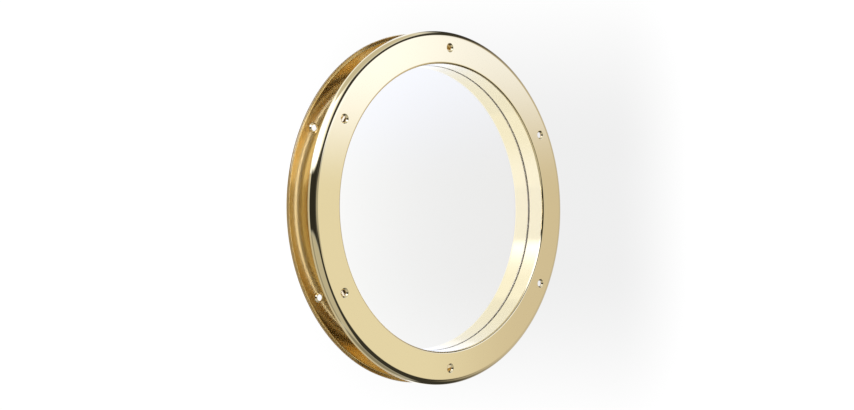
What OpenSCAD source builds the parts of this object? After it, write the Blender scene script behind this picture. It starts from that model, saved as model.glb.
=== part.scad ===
// Round glazed window for a door leaf or a partition. Two rings pressed from brass sheet close on
// the leaf from both sides and hold a clear pane between the ends of their collars.
// The window stands upright: its axis lies along Y, its front faces -Y and +Z is up. The origin is
// the centre of the pane, which is the middle of the leaf.

/* [Rings] */
// Outside diameter of each ring
ring_d = 350; // [250:1:500]
// Width of a ring's face, from its outside to the clear opening
face_w = 33; // [30:0.5:50]
// Thickness of the brass sheet
sheet = 1; // [0.6:0.1:1.4]
// Outside radius of the bend from the face to the rim
rim_bend = 6.5; // [3:0.5:9]
// Straight part of the rim, from the bend to the edge that meets the leaf
rim_edge = 0.5; // [0.5:0.5:6]
// Outside radius of the bend from the face to the collar
collar_bend = 2; // [1.5:0.5:5]
// Turn of the front ring about the axis, as fitted, in degrees
front_turn = -0.5; // [-5:0.5:5]
// Turn of the rear ring, which keeps its screws clear of the front ones, in degrees
rear_turn = 2; // [-5:0.5:5]

/* [Leaf] */
// Thickness of the leaf between the two rims
leaf = 28; // [26:1:60]

/* [Glazing] */
// Thickness of the pane
pane_t = 3; // [3:0.5:8]
// How far the pane reaches past the outside of the collars
pane_cover = 3; // [2:0.5:5]
// Flat ground on each edge of the pane
pane_arris = 0.5; // [0.2:0.1:1]
// Thickness of each seal
seal_t = 0.5; // [0.3:0.1:2]
// Angle of the first joint in the front seal, anticlockwise from the right, in degrees
seal_joint_a = 36; // [10:1:80]
// Angle of the second joint in the front seal, in degrees
seal_joint_b = -33; // [-80:1:-10]
// Gap left at each joint of the front seal
seal_joint_gap = 1.6; // [0.4:0.2:4]

/* [Screw seats] */
// Number of screw seats in each ring
seat_count = 6; // [4:1:12]
// Distance of the circle of seats from the outside of the ring
seat_inset = 16.5; // [15:0.5:17]
// Mouth diameter of a dimpled seat, before its edge is rounded
seat_d = 9; // [9:0.1:10]
// Radius on the edge of the seat
seat_edge = 0.6; // [0.3:0.1:0.6]
// Diameter of the hole through the seat
hole_d = 6; // [5.5:0.1:6.4]
// Length of the straight wall of the hole
hole_land = 0.8; // [0.4:0.1:1]

/* [Hidden] */
$fn = 96;
ring_r = ring_d / 2;
opening_r = ring_r - face_w;
seat_circle_r = ring_r - seat_inset;
rim_depth = rim_bend + rim_edge;
depth = leaf + 2 * rim_depth;
collar_depth = (depth - pane_t) / 2 - seal_t;
collar_outer_r = opening_r + sheet;
pane_r = collar_outer_r + pane_cover;

// The seat is a right-angled cone, so depth and radius change together along it
seat_r = seat_d / 2;
hole_r = hole_d / 2;
seat_depth = seat_r - hole_r;
dimple_depth = seat_depth + hole_land;
dimple_wall = sheet * sqrt(2);
edge_run = seat_edge * tan(22.5);

brass = [0.84, 0.73, 0.48];
clear_glass = [0.86, 0.93, 0.92, 0.35];
black_rubber = [0.16, 0.14, 0.11];
clear_silicone = [0.88, 0.87, 0.82];
over = 1;

// Stands a shape upright that is drawn with +Z pointing from the front of the window to the back
module upright() {
    rotate([-90, 0, 0])
        translate([0, 0, -depth / 2])
            children();
}

// Repeats a shape on the circle of seats, with one at the top when the turn is nought
module on_seat_circle(turn) {
    for (i = [0 : seat_count - 1])
        rotate([0, 0, -(90 + turn + i * 360 / seat_count)])
            translate([seat_circle_r, 0, 0])
                children();
}

// A quarter of the sheet bent at a corner, which the two unit directions point to
module bend(radius, toward_x, toward_y) {
    intersection() {
        difference() {
            circle(radius);
            circle(radius - sheet);
        }
        translate([toward_x > 0 ? 0 : -radius, toward_y > 0 ? 0 : -radius])
            square(radius);
    }
}

// Section of the pressed sheet, with radius across and depth upwards
module ring_section() {
    rim_bend_r = ring_r - rim_bend;
    collar_bend_r = opening_r + collar_bend;
    translate([ring_r - sheet, rim_bend])
        square([sheet, rim_edge]);
    translate([rim_bend_r, rim_bend])
        bend(rim_bend, 1, -1);
    translate([collar_bend_r, 0])
        square([rim_bend_r - collar_bend_r, sheet]);
    translate([collar_bend_r, collar_bend])
        bend(collar_bend, -1, -1);
    translate([opening_r, collar_bend])
        square([sheet, collar_depth - collar_bend]);
}

// The back of a dimple, which starts inside the sheet of the face
module dimple() {
    start = sheet / 2;
    translate([0, 0, start])
        cylinder(h = dimple_depth - start,
                 r1 = seat_r - start + dimple_wall,
                 r2 = seat_r - dimple_depth + dimple_wall);
}

// What a dimple leaves open: the cone for a screw head, its rounded edge and the hole
module seat() {
    translate([0, 0, -over])
        cylinder(h = seat_depth + over, r1 = seat_r + over, r2 = hole_r);
    cylinder(h = dimple_depth + over, r = hole_r);
    rotate_extrude()
        difference() {
            polygon([[seat_r - over, 0],
                     [seat_r + edge_run, 0],
                     [seat_r - edge_run * cos(45), edge_run * sin(45)],
                     [seat_r - over, edge_run * sin(45)]]);
            translate([seat_r + edge_run, seat_edge])
                circle(seat_edge);
        }
}

module pressed_ring(turn) {
    difference() {
        union() {
            rotate_extrude()
                ring_section();
            on_seat_circle(turn)
                dimple();
        }
        on_seat_circle(turn)
            seat();
    }
}

// Section of a seal that fills the gap between a collar's end and the pane
module seal_section() {
    translate([opening_r, 0])
        square([pane_r - opening_r, seal_t]);
}

module front_ring() {
    color(brass)
        upright()
            pressed_ring(front_turn);
}

module rear_ring() {
    color(brass)
        upright()
            translate([0, 0, depth])
                mirror([0, 0, 1])
                    pressed_ring(rear_turn);
}

module glass_pane() {
    color(clear_glass)
        upright()
            translate([0, 0, (depth - pane_t) / 2]) {
                cylinder(h = pane_arris, r1 = pane_r - pane_arris, r2 = pane_r);
                translate([0, 0, pane_arris])
                    cylinder(h = pane_t - 2 * pane_arris, r = pane_r);
                translate([0, 0, pane_t - pane_arris])
                    cylinder(h = pane_arris, r1 = pane_r, r2 = pane_r - pane_arris);
            }
}

module front_seal() {
    half_gap = seal_joint_gap / 2 / opening_r * 180 / PI;
    between = seal_joint_a - seal_joint_b;
    color(black_rubber)
        upright()
            translate([0, 0, collar_depth]) {
                rotate([0, 0, -seal_joint_a + half_gap])
                    rotate_extrude(angle = between - 2 * half_gap)
                        seal_section();
                rotate([0, 0, -seal_joint_b + half_gap])
                    rotate_extrude(angle = 360 - between - 2 * half_gap)
                        seal_section();
            }
}

module rear_seal() {
    color(clear_silicone)
        upright()
            translate([0, 0, depth - collar_depth - seal_t])
                rotate_extrude()
                    seal_section();
}

front_ring();
rear_ring();
glass_pane();
front_seal();
rear_seal();
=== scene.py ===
import math

import bmesh
import bpy
from mathutils import Matrix, Vector


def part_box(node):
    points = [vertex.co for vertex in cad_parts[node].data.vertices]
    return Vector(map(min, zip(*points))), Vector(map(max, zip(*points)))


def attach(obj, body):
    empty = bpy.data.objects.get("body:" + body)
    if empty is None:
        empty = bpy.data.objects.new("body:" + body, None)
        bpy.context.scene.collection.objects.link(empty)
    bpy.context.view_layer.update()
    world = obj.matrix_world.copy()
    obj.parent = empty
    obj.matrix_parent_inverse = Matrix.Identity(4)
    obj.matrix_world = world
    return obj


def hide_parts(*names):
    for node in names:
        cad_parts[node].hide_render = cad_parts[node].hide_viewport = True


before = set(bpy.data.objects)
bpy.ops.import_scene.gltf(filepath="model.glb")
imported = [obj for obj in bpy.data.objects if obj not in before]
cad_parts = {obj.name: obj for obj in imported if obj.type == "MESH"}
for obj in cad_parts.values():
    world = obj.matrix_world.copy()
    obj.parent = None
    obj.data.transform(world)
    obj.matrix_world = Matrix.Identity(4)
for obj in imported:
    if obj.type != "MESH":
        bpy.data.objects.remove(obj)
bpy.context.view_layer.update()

# Front ring
# One pressing of 1 mm brass sheet: a turned rim, a flat face and a deep collar that lines the opening.
# It is drawn and dimpled in a die, trimmed at the rim and the collar, then polished and lacquered outside.
mm = 0.001
front_low, front_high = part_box("front_ring")
ring_r = (front_high.z - front_low.z) / 2
opening_r = ring_r - 33 * mm
seat_circle_r = ring_r - 16.5 * mm
sheet = 1 * mm
rim_depth = 7 * mm
rim_bend = 6.5 * mm
collar_depth = front_high.y - front_low.y
collar_bend = 2 * mm
seat_r = 4.5 * mm
seat_edge = 0.6 * mm
hole_r = 3 * mm
dimple_depth = 2.3 * mm
dimple_fillet = 0.8 * mm
seat_count = 6
front_turn = math.radians(89.5)
trim_bevel = 0.12 * mm
flat_margin = 0.4 * mm
level_tolerance = 0.1 * mm
merge_distance = 0.002 * mm
ring_segments = 360
seat_segments = 48
bend_segments = 14
edge_segments = 5
quarter = math.pi / 2
square_edge = math.radians(60)
window_axis = Vector((0, 1, 0))


def start(mesh, radius, depth):
    """Puts down the first point of a section, at a radius from the axis and a depth behind the face."""
    return mesh.verts.new((radius, depth, 0))


def run(mesh, point, across, inward):
    """Draws the section on in a straight line."""
    drawn = bmesh.ops.extrude_vert_indiv(mesh, verts=[point])["verts"][0]
    drawn.co += Vector((across, inward, 0))
    return drawn


def turn(mesh, point, centre, angle, steps):
    """Draws the section on round the centre of a bend."""
    turned = bmesh.ops.spin(
        mesh, geom=[point], cent=(*centre, 0), axis=(0, 0, 1), angle=angle, steps=steps,
    )
    return next(part for part in turned["geom_last"] if isinstance(part, bmesh.types.BMVert))


def spin_section(mesh, centre, segments):
    """Turns the drawn section, which is every edge without a face, right round an axis along Y."""
    edges = [edge for edge in mesh.edges if edge.is_wire]
    points = list({point for edge in edges for point in edge.verts})
    bmesh.ops.spin(
        mesh, geom=points + edges, cent=(centre, 0, 0), axis=window_axis,
        angle=math.tau, steps=segments, use_merge=True,
    )


def draw_seat(mesh):
    """The front of a dimple: a rounded edge, the cone for a screw head, the hole and its end."""
    edge_run = seat_edge * math.tan(quarter / 4)
    edge_r = seat_circle_r + seat_r + edge_run
    point = start(mesh, edge_r + flat_margin, 0)
    point = run(mesh, point, -flat_margin, 0)
    point = turn(mesh, point, (edge_r, seat_edge), -quarter / 2, edge_segments)
    cone_end = seat_r - hole_r
    point = run(mesh, point, seat_circle_r + hole_r - point.co.x, cone_end - point.co.y)
    point = run(mesh, point, 0, dimple_depth - cone_end)
    run(mesh, point, seat_r + sheet * math.sqrt(2) - dimple_depth - hole_r, 0)
    spin_section(mesh, seat_circle_r, seat_segments)


def draw_dimple_back(mesh):
    """The back of a dimple, a cone that rises from the back of the face on a small fillet."""
    foot_r = seat_r - sheet + sheet * math.sqrt(2)
    fillet_r = seat_circle_r + foot_r + dimple_fillet * math.tan(quarter / 4)
    point = start(mesh, fillet_r + flat_margin, sheet)
    point = run(mesh, point, -flat_margin, 0)
    point = turn(mesh, point, (fillet_r, sheet + dimple_fillet), -quarter / 2, edge_segments)
    rise = dimple_depth - point.co.y
    run(mesh, point, -rise, rise)
    spin_section(mesh, seat_circle_r, seat_segments)


def draw_skin(mesh, under):
    """One side of the rim and the collar, so far under the polished side, with margins at its bends."""
    point = start(mesh, ring_r - rim_bend - flat_margin, under)
    point = run(mesh, point, flat_margin, 0)
    point = turn(mesh, point, (ring_r - rim_bend, rim_bend), quarter, bend_segments)
    run(mesh, point, 0, rim_depth - rim_bend)
    point = start(mesh, opening_r + collar_bend + flat_margin, under)
    point = run(mesh, point, -flat_margin, 0)
    point = turn(mesh, point, (opening_r + collar_bend, collar_bend), -quarter, bend_segments)
    point = run(mesh, point, 0, flat_margin)
    point = run(mesh, point, 0, collar_depth - collar_bend - 2 * flat_margin)
    run(mesh, point, 0, flat_margin)
    spin_section(mesh, 0, ring_segments)


def draw_cuts(mesh):
    """The two trimmed edges of the sheet, at the end of the rim and of the collar."""
    run(mesh, start(mesh, ring_r, rim_depth), -sheet, 0)
    run(mesh, start(mesh, opening_r, collar_depth), sheet, 0)
    spin_section(mesh, 0, ring_segments)


def flat_fill(mesh, depth):
    """Fills the flat of the face between the open edges that lie at a depth behind it."""
    edges = [edge for edge in mesh.edges if edge.is_boundary]
    level = [
        edge for edge in edges if all(abs(point.co.y - depth) < level_tolerance for point in edge.verts)
    ]
    bmesh.ops.triangle_fill(mesh, edges=level, use_beauty=True)


def close(mesh):
    """Merges what meets and turns every face outwards."""
    bmesh.ops.remove_doubles(mesh, verts=mesh.verts, dist=merge_distance)
    bmesh.ops.recalc_face_normals(mesh, faces=mesh.faces)


pressing = bmesh.new()
draw_seat(pressing)
polished_side = set(pressing.faces)
draw_dimple_back(pressing)
for surface in set(pressing.faces) - polished_side:
    surface.material_index = 1
bmesh.ops.spin(
    pressing, geom=[*pressing.verts, *pressing.edges, *pressing.faces],
    cent=(0, 0, 0), axis=window_axis,
    angle=math.tau * (1 - 1 / seat_count), steps=seat_count - 1, use_duplicate=True,
)
draw_skin(pressing, 0)
flat_fill(pressing, 0)
polished_side = set(pressing.faces)
draw_skin(pressing, sheet)
flat_fill(pressing, sheet)
for surface in set(pressing.faces) - polished_side:
    surface.material_index = 1
sheet_sides = set(pressing.faces)
draw_cuts(pressing)
for surface in set(pressing.faces) - sheet_sides:
    surface.material_index = 2
close(pressing)
bmesh.ops.bevel(
    pressing, geom=[edge for edge in pressing.edges if edge.calc_face_angle(0) > square_edge],
    offset=trim_bevel, offset_type="OFFSET", affect="EDGES", segments=2, profile=0.5, material=-1,
)


def make_piece(name, mesh, finishes, sharp=38):
    """Makes a closed mesh a piece of the window, smooth but for its edges over so many degrees."""
    data = bpy.data.meshes.new(name)
    mesh.to_mesh(data)
    mesh.free()
    data.shade_smooth()
    data.set_sharp_from_angle(angle=math.radians(sharp))
    for finish in finishes:
        data.materials.append(finish)
    piece = bpy.data.objects.new(name, data)
    bpy.context.scene.collection.objects.link(piece)
    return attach(piece, "root")


def ring_piece(name, face, inward, turned, finishes):
    """A pressing put in its place, with its face at a place along Y and its rim reaching inward."""
    mesh = pressing.copy()
    bmesh.ops.rotate(
        mesh, verts=mesh.verts, cent=(0, 0, 0), matrix=Matrix.Rotation(-turned, 3, window_axis),
    )
    bmesh.ops.scale(mesh, verts=mesh.verts, vec=(1, inward, 1))
    bmesh.ops.translate(mesh, verts=mesh.verts, vec=(0, face, 0))
    close(mesh)
    return make_piece(name, mesh, finishes)


def linear(colour):
    """An sRGB hex colour as a linear one."""
    parts = [int(colour[i:i + 2], 16) / 255 for i in (1, 3, 5)]
    return (*[part / 12.92 if part <= 0.04045 else ((part + 0.055) / 1.055) ** 2.4 for part in parts], 1)


def add(tree, kind, settings, links):
    """Adds a node with its settings, each a socket or a property, and the outputs its sockets take."""
    node = tree.nodes.new(kind)
    for name, value in settings.items():
        if isinstance(name, int) or name in node.inputs:
            node.inputs[name].default_value = value
        else:
            setattr(node, name, value)
    for name, output in links.items():
        tree.links.new(output, node.inputs[name])
    return node


def new_finish(name, settings):
    """A material with the constants of its shader, and the piece's own coordinates for its patterns."""
    finish = bpy.data.materials.new(name)
    finish.use_nodes = True
    tree = finish.node_tree
    shader = tree.nodes["Principled BSDF"]
    for socket, value in settings.items():
        shader.inputs[socket].default_value = value
    place = tree.nodes.new("ShaderNodeTexCoord").outputs["Object"]
    return finish, tree, shader, place


# Polished brass under clear lacquer: a warm mirror, a little wavy from the press, with a faint haze
# left by the buffing wheel.
lacquered_brass, tree, shader, place = new_finish("lacquered_polished_brass", {
    "Base Color": linear("#F3E1AD"), "Metallic": 1, "Coat Weight": 0.5, "Coat Roughness": 0.03,
})
wave_size = 45 * mm
waves = add(tree, "ShaderNodeTexNoise", {"Scale": 1 / wave_size, "Detail": 1}, {"Vector": place})
press_waves = add(
    tree, "ShaderNodeBump", {"Strength": 0.12, "Distance": 0.2 * mm}, {"Height": waves.outputs["Fac"]},
)
tree.links.new(press_waves.outputs["Normal"], shader.inputs["Normal"])
haze_size = 12 * mm
haze = add(tree, "ShaderNodeTexNoise", {"Scale": 1 / haze_size, "Detail": 4}, {"Vector": place})
polish = add(
    tree, "ShaderNodeMapRange", {"To Min": 0.03, "To Max": 0.08}, {"Value": haze.outputs["Fac"]},
)
tree.links.new(polish.outputs["Result"], shader.inputs["Roughness"])

# Brass as rolled at the mill: a soft mirror, with long faint streaks from the rolls and the shallow
# waves of the press.
rolled_brass, tree, shader, place = new_finish("mill_rolled_brass", {
    "Base Color": linear("#F5E4B8"), "Metallic": 1,
})
streak_width = 8 * mm
streak_length = 60 * mm
rolling = add(
    tree, "ShaderNodeMapping", {"Scale": (1 / streak_length, 1 / streak_length, 1 / streak_width)},
    {"Vector": place},
)
streaks = add(
    tree, "ShaderNodeTexNoise", {"Scale": 1, "Detail": 1}, {"Vector": rolling.outputs["Vector"]},
)
satin = add(
    tree, "ShaderNodeMapRange", {"To Min": 0.12, "To Max": 0.15}, {"Value": streaks.outputs["Fac"]},
)
tree.links.new(satin.outputs["Result"], shader.inputs["Roughness"])
inner_wave_size = 40 * mm
waves = add(tree, "ShaderNodeTexNoise", {"Scale": 1 / inner_wave_size, "Detail": 1}, {"Vector": place})
inner_waves = add(
    tree, "ShaderNodeBump", {"Strength": 0.12, "Distance": 0.2 * mm}, {"Height": waves.outputs["Fac"]},
)
tree.links.new(inner_waves.outputs["Normal"], shader.inputs["Normal"])

# Brass at a sheared edge: bright bare metal that the trimming die leaves satin, with fine marks.
sheared_brass, tree, shader, place = new_finish("sheared_brass_edge", {
    "Base Color": linear("#EFD9A0"), "Metallic": 1, "Roughness": 0.4,
})
shear_size = 0.6 * mm
shear = add(tree, "ShaderNodeTexNoise", {"Scale": 1 / shear_size, "Detail": 2}, {"Vector": place})
shear_marks = add(
    tree, "ShaderNodeBump", {"Strength": 0.2, "Distance": 0.04 * mm}, {"Height": shear.outputs["Fac"]},
)
tree.links.new(shear_marks.outputs["Normal"], shader.inputs["Normal"])

brass_finishes = (lacquered_brass, rolled_brass, sheared_brass)
front_ring = ring_piece("front_ring_pressing", front_low.y, 1, front_turn, brass_finishes)
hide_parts("front_ring")

# Rear ring
# The same pressing turned round, so that its face looks backwards. It sits a little further round,
# so that screws driven through its open holes pass beside those driven from the front.
rear_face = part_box("rear_ring")[1].y
rear_turn = math.radians(92)
rear_ring = ring_piece("rear_ring_pressing", rear_face, -1, rear_turn, brass_finishes)
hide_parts("rear_ring")

# Glass pane
# A disc of clear float glass, cut and ground at the edge. The ends of the two collars clamp it.
pane_low, pane_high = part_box("glass_pane")
pane_r = (pane_high.z - pane_low.z) / 2
pane_arris = 0.5 * mm
# A surface that faces this far along the axis, as a share, is one of the two flats
flat_facing = 0.9
# Clear float glass: almost without colour, and flat but for the long faint waves of the tin bath.
clear_glass, tree, shader, place = new_finish("clear_float_glass", {
    "Base Color": linear("#FEFEFD"), "Roughness": 0, "IOR": 1.52, "Transmission Weight": 1,
})
bath_wave = 60 * mm
waves = add(tree, "ShaderNodeTexNoise", {"Scale": 1 / bath_wave, "Detail": 0}, {"Vector": place})
float_waves = add(
    tree, "ShaderNodeBump", {"Strength": 0.03, "Distance": 0.1 * mm}, {"Height": waves.outputs["Fac"]},
)
tree.links.new(float_waves.outputs["Normal"], shader.inputs["Normal"])
# Glass ground with a fine belt: a pale frosted band with the grain of the grit.
ground_edge, tree, shader, place = new_finish("ground_glass_edge", {
    "Base Color": linear("#FDF6E3"), "Roughness": 0.55, "IOR": 1.52, "Transmission Weight": 0.2,
})
grit_size = 0.3 * mm
grit = add(tree, "ShaderNodeTexNoise", {"Scale": 1 / grit_size, "Detail": 2}, {"Vector": place})
frost = add(
    tree, "ShaderNodeBump", {"Strength": 0.4, "Distance": 0.05 * mm}, {"Height": grit.outputs["Fac"]},
)
tree.links.new(frost.outputs["Normal"], shader.inputs["Normal"])
mesh = bmesh.new()
bmesh.ops.create_circle(mesh, cap_ends=True, segments=ring_segments, radius=pane_r)
bmesh.ops.rotate(mesh, verts=mesh.verts, cent=(0, 0, 0), matrix=Matrix.Rotation(quarter, 3, "X"))
bmesh.ops.translate(mesh, verts=mesh.verts, vec=(0, pane_low.y, 0))
drawn = bmesh.ops.extrude_face_region(mesh, geom=mesh.faces[:])["geom"]
bmesh.ops.translate(
    mesh, verts=[part for part in drawn if isinstance(part, bmesh.types.BMVert)],
    vec=(0, pane_high.y - pane_low.y, 0),
)
close(mesh)
bmesh.ops.bevel(
    mesh, geom=[edge for edge in mesh.edges if edge.calc_face_angle(0) > square_edge],
    offset=pane_arris, offset_type="OFFSET", affect="EDGES", segments=1, profile=0.5, material=-1,
)
for surface in mesh.faces:
    surface.material_index = 0 if abs(surface.normal.y) > flat_facing else 1
pane = make_piece("glass_pane_disc", mesh, (clear_glass, ground_edge), sharp=20)
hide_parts("glass_pane")

# Front seal
# Two lengths of black rubber strip, squeezed between the end of the front collar and the pane, so
# that their inner edge is rounded. Their ends stop short of each other at two joints.
seal_low, seal_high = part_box("front_seal")
seal_joints = (math.radians(-33), math.radians(36))
seal_gap = 1.6 * mm / opening_r
squeezed_edge = 0.2 * mm
corner_segments = 4
# A hair's breadth of room on both sides of a seal, so that no two surfaces lie in one place
hair = 0.02 * mm
# Black rubber gone brown-grey with age: matt, with a fine moulded grain.
black_rubber, tree, shader, place = new_finish("black_rubber_strip", {
    "Base Color": linear("#6B5D47"), "Roughness": 0.6,
})
grain_size = 0.5 * mm
grain = add(tree, "ShaderNodeTexNoise", {"Scale": 1 / grain_size, "Detail": 3}, {"Vector": place})
skin = add(
    tree, "ShaderNodeBump", {"Strength": 0.3, "Distance": 0.05 * mm}, {"Height": grain.outputs["Fac"]},
)
tree.links.new(skin.outputs["Normal"], shader.inputs["Normal"])


def draw_strip(mesh, low, high, rounding):
    """The section of a strip between two places along Y, with the corners of its inner edge rounded."""
    corner = start(mesh, pane_r, high - hair)
    point = run(mesh, corner, opening_r + rounding - pane_r, 0)
    centre = (opening_r + rounding, high - hair - rounding)
    point = turn(mesh, point, centre, quarter, corner_segments)
    point = run(mesh, point, 0, low - high + 2 * (hair + rounding))
    centre = (opening_r + rounding, low + hair + rounding)
    point = turn(mesh, point, centre, quarter, corner_segments)
    point = run(mesh, point, pane_r - opening_r - rounding, 0)
    mesh.edges.new((point, corner))


def add_turned(whole, part, turned):
    """Adds a part to a mesh, turned anticlockwise about the window's axis as seen from the front."""
    bmesh.ops.rotate(
        part, verts=part.verts, cent=(0, 0, 0), matrix=Matrix.Rotation(-turned, 3, window_axis),
    )
    close(part)
    data = bpy.data.meshes.new("part")
    part.to_mesh(data)
    part.free()
    whole.from_mesh(data)
    bpy.data.meshes.remove(data)


mesh = bmesh.new()
for begin, end in (seal_joints, (seal_joints[1], seal_joints[0] + math.tau)):
    strip = bmesh.new()
    draw_strip(strip, seal_low.y, seal_high.y, squeezed_edge)
    length = end - begin - seal_gap
    bmesh.ops.spin(
        strip, geom=[*strip.verts, *strip.edges], cent=(0, 0, 0), axis=-window_axis,
        angle=length, steps=round(ring_segments * length / math.tau),
    )
    bmesh.ops.holes_fill(strip, edges=[edge for edge in strip.edges if edge.is_boundary], sides=0)
    add_turned(mesh, strip, begin + seal_gap / 2)
front_seal = make_piece("front_seal_strips", mesh, (black_rubber,))
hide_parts("front_seal")

# Rear seal
# A bead of clear silicone that beds the pane on the end of the rear collar, wiped flush with the
# opening.
bed_low, bed_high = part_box("rear_seal")
wiped_edge = 0.05 * mm
# Clear silicone, which looks creamy and clouded in a thin bead: smooth, with the ripples of the wiping.
clear_silicone, tree, shader, place = new_finish("clear_silicone_bead", {
    "Base Color": linear("#F8F1DC"), "Roughness": 0.3, "IOR": 1.41, "Transmission Weight": 0.15,
})
ripple_size = 6 * mm
ripple = add(tree, "ShaderNodeTexNoise", {"Scale": 1 / ripple_size, "Detail": 2}, {"Vector": place})
wiped = add(
    tree, "ShaderNodeBump", {"Strength": 0.3, "Distance": 0.2 * mm}, {"Height": ripple.outputs["Fac"]},
)
tree.links.new(wiped.outputs["Normal"], shader.inputs["Normal"])
mesh = bmesh.new()
draw_strip(mesh, bed_low.y, bed_high.y, wiped_edge)
spin_section(mesh, 0, ring_segments)
close(mesh)
rear_seal = make_piece("rear_seal_bead", mesh, (clear_silicone,))
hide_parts("rear_seal")

# Floor
# A plain pale floor well below the window, which hangs as it does in a leaf. It fades to white with
# distance, and the mirrors and the pane leave it out.
floor_z = -0.75
floor_r = 3
floor_segments = 96
fade_start = 1.3
fade_end = 2.9


def mesh_object(name, mesh):
    """A plain object of a mesh, for the stage."""
    data = bpy.data.meshes.new(name)
    mesh.to_mesh(data)
    mesh.free()
    made = bpy.data.objects.new(name, data)
    bpy.context.scene.collection.objects.link(made)
    return made


mesh = bmesh.new()
bmesh.ops.create_circle(mesh, cap_ends=True, segments=floor_segments, radius=floor_r)
bmesh.ops.translate(mesh, verts=mesh.verts, vec=(0, 0, floor_z))
floor = mesh_object("floor", mesh)
floor.visible_glossy = False
floor.visible_transmission = False
pale_floor, tree, shader, place = new_finish("pale_floor", {
    "Base Color": linear("#E6E2DA"), "Roughness": 0.7,
})
floor.data.materials.append(pale_floor)
distance = add(tree, "ShaderNodeVectorMath", {"operation": "LENGTH"}, {0: place})
far = add(tree, "ShaderNodeMapRange", {
    "interpolation_type": "SMOOTHSTEP", "From Min": fade_start, "From Max": fade_end,
}, {"Value": distance.outputs["Value"]})
backdrop_white = add(tree, "ShaderNodeEmission", {}, {})
faded = add(tree, "ShaderNodeMixShader", {}, {
    0: far.outputs["Result"], 1: shader.outputs[0], 2: backdrop_white.outputs[0],
})
tree.links.new(faded.outputs[0], tree.nodes["Material Output"].inputs["Surface"])

# Cards
# A brown card close behind the left half of the window, and a grey one outside it from the left to
# the bottom. The outside of the rear ring and the insides of both rings mirror them.
card_y = 0.15
card_segments = 60
brown_start = 5 * mm
brown_end = 105 * mm
grey_start = 107 * mm
grey_end = 450 * mm
# Angles anticlockwise from the right, in degrees
brown_span = (80, 280)
grey_span = (164, 285)
brown = (0.28, 0.2, 0.11)
grey = (0.6, 0.58, 0.55)


def add_card(name, inner, outer, span, tone):
    """A flat glowing card between two distances from the ring and two angles, which the camera doesn't see
    and which casts no shadow.
    """
    first, last = [math.radians(angle) for angle in span]
    mesh = bmesh.new()
    run(mesh, start(mesh, ring_r + inner, card_y), outer - inner, 0)
    bmesh.ops.spin(
        mesh, geom=[*mesh.verts, *mesh.edges], cent=(0, 0, 0), axis=-window_axis,
        angle=last - first, steps=card_segments,
    )
    bmesh.ops.rotate(
        mesh, verts=mesh.verts, cent=(0, 0, 0), matrix=Matrix.Rotation(-first, 3, window_axis),
    )
    card = mesh_object(name, mesh)
    card.visible_camera = False
    card.visible_shadow = False
    paper = new_finish(name, {
        "Base Color": (0, 0, 0, 1), "Emission Color": (*tone, 1), "Emission Strength": 1,
    })[0]
    card.data.materials.append(paper)


add_card("brown_card", brown_start, brown_end, brown_span, brown)
add_card("grey_card", grey_start, grey_end, grey_span, grey)

# Studio
# Soft light from all round, with the panels and dark gaps that polished brass mirrors. Bearings are
# in degrees to the right of straight in front, and heights in degrees above level.
scene = bpy.context.scene
scene.view_settings.view_transform = "Standard"
# Light goes to and fro between the two rings many times before it leaves the gap
scene.cycles.max_bounces = 24
scene.cycles.glossy_bounces = 16
world = bpy.data.worlds.new("studio")
scene.world = world
world.use_nodes = True
tree = world.node_tree
light = tree.nodes["Background"]
direction = tree.nodes.new("ShaderNodeTexCoord").outputs["Generated"]
axes = add(tree, "ShaderNodeSeparateXYZ", {}, {"Vector": direction}).outputs
toward_front = add(tree, "ShaderNodeMath", {"operation": "MULTIPLY", 1: -1}, {0: axes["Y"]})
bearing = add(
    tree, "ShaderNodeMath", {"operation": "ARCTAN2"}, {0: axes["X"], 1: toward_front.outputs[0]},
)
height = add(tree, "ShaderNodeMath", {"operation": "ARCSINE"}, {0: axes["Z"]})


def within(angle, low, high, soft):
    """One where an angle lies between two bounds in degrees, falling softly to nought outside them."""
    middle = math.radians((low + high) / 2)
    half = math.radians((high - low) / 2)
    offset = add(tree, "ShaderNodeMath", {"operation": "SUBTRACT", 1: middle}, {0: angle})
    distance = add(tree, "ShaderNodeMath", {"operation": "ABSOLUTE"}, {0: offset.outputs[0]})
    return add(tree, "ShaderNodeMapRange", {
        "interpolation_type": "SMOOTHSTEP",
        "From Min": half + math.radians(soft) / 2, "From Max": half - math.radians(soft) / 2,
    }, {"Value": distance.outputs[0]}).outputs["Result"]


def panel(under, bearings, heights, level, tint, soft):
    """Lays a panel over what is under it, between two bearings and two heights with soft edges."""
    across = within(bearing.outputs[0], *bearings, soft[0])
    up = within(height.outputs[0], *heights, soft[1])
    cover = add(tree, "ShaderNodeMath", {"operation": "MULTIPLY"}, {0: across, 1: up})
    colour = (*[level * part for part in tint], 1)
    mixed = add(
        tree, "ShaderNodeMix", {"data_type": "RGBA", 7: colour}, {0: cover.outputs[0], 6: under},
    )
    return mixed.outputs[2]


# Tints, as shares of red, green and blue
plain = (1, 1, 1)
warm = (1.05, 1, 0.97)
cool = (0.93, 1, 1.22)
cooler = (0.92, 1, 1.33)
daylight = (0.9, 1, 1.45)
backdrop_level = 1.04
white = add(tree, "ShaderNodeRGB", {}, {})
white.outputs[0].default_value = (backdrop_level, backdrop_level, backdrop_level, 1)
# What the camera sees: a white backdrop with a soft grey shade behind the window, white again at its right
sweep = panel(white.outputs[0], (110, 139.2), (-7.2, 8.6), 0.86, plain, (11, 11))
sweep = panel(sweep, (60, 124.5), (-90, 90), backdrop_level, plain, (5, 1))
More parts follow.
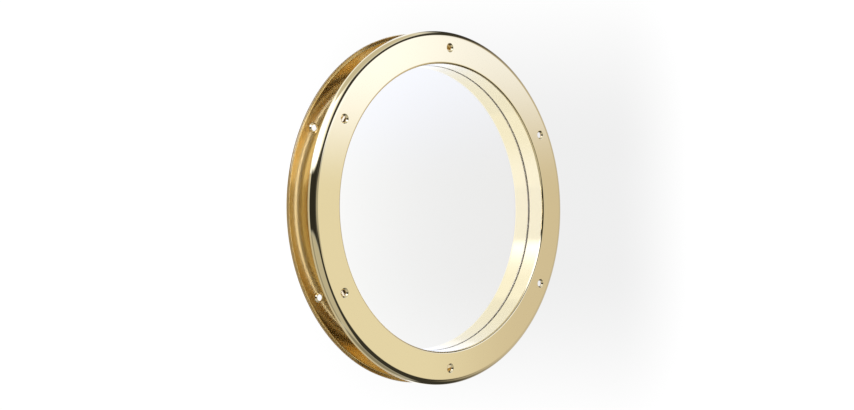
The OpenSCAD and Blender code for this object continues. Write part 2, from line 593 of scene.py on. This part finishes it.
# What the brass mirrors: each panel has its bearings, heights, level, tint and the softness of its edges
studio = white.outputs[0]
for bearings, heights, level, tint, soft in (
    # Pale all round, brighter behind on the left, and dim far below and above
    ((-200, 200), (-100, 100), 1.17, cool, (1, 1)),
    ((-170, -110), (-32, 32), 1.27, cooler, (20, 24)),
    ((-200, 200), (-120, -64), 0.28, plain, (1, 16)),
    ((-200, 200), (58, 120), 0.62, plain, (1, 12)),
    # Dark on the right, and a dark gap in front on the left with grey below it
    ((-10, 126), (-64, 53), 0.04, plain, (10, 12)),
    ((-86, -8), (-64, -13), 0.55, plain, (10, 4)),
    ((-125, -86), (-64, -13), 0.34, plain, (8, 4)),
    ((-108, -8), (-13, 20), 0.03, plain, (8, 5)),
    # A bright light high on the left
    ((-135, -37), (22, 58), 2.2, daylight, (16, 7)),
    # The panels on the right that the front ring mirrors, brightest at their upper left
    ((22, 58), (-15.5, 26), 0.68, warm, (8, 8)),
    ((54, 128), (-32, 24), 0.58, warm, (14, 26)),
    ((22, 46.5), (-15.5, 26), 0.86, plain, (5, 8)),
    ((20, 54), (4.9, 27), 1.15, daylight, (8, 7)),
    ((20, 45), (4.9, 27), 1.36, daylight, (6, 7)),
    ((2, 34), (-4, 6.5), 0.44, plain, (4, 4)),
):
    studio = panel(studio, bearings, heights, level, tint, soft)
# The camera sees the backdrop, also straight through the pane. All else is lit by the studio.
paths = tree.nodes.new("ShaderNodeLightPath").outputs
unmirrored = add(tree, "ShaderNodeMath", {"operation": "LESS_THAN", 1: 0.5}, {0: paths["Glossy Depth"]})
through = add(
    tree, "ShaderNodeMath", {"operation": "MULTIPLY"},
    {0: paths["Is Transmission Ray"], 1: unmirrored.outputs[0]},
)
seen = add(
    tree, "ShaderNodeMath", {"operation": "MAXIMUM"}, {0: paths["Is Camera Ray"], 1: through.outputs[0]},
)
shown = add(tree, "ShaderNodeMix", {"data_type": "RGBA"}, {0: seen.outputs[0], 6: studio, 7: sweep})
tree.links.new(shown.outputs[2], light.inputs["Color"])

# Side lamp
# A soft square lamp to the left, level with the pane, which the mirrors leave out. It shines into the
# gap between the rings and lights the ground edge of the pane there.
lamp_distance = 0.8
side_lamp = bpy.data.lights.new("side_lamp", "AREA")
side_lamp.size = 0.5
side_lamp.energy = 6
side_lamp.color = (1, 0.92, 0.78)
lamp = bpy.data.objects.new("side_lamp", side_lamp)
lamp.location = (-lamp_distance, 0, 0)
lamp.rotation_euler = (0, -quarter, 0)
lamp.visible_glossy = False
lamp.visible_camera = False
scene.collection.objects.link(lamp)

# Camera
# It stands to the left of the window, level with its middle, and looks at it from the front. Its
# place and turn are fitted to the photograph's view.
lens = bpy.data.cameras.new("camera")
lens.sensor_width = 36
lens.lens = 51.42
camera = bpy.data.objects.new("camera", lens)
camera.location = (-0.86171, -0.86496, -0.01364)
camera.rotation_euler = (math.radians(90.775), math.radians(0.385), math.radians(-44.499))
scene.collection.objects.link(camera)
scene.camera = camera
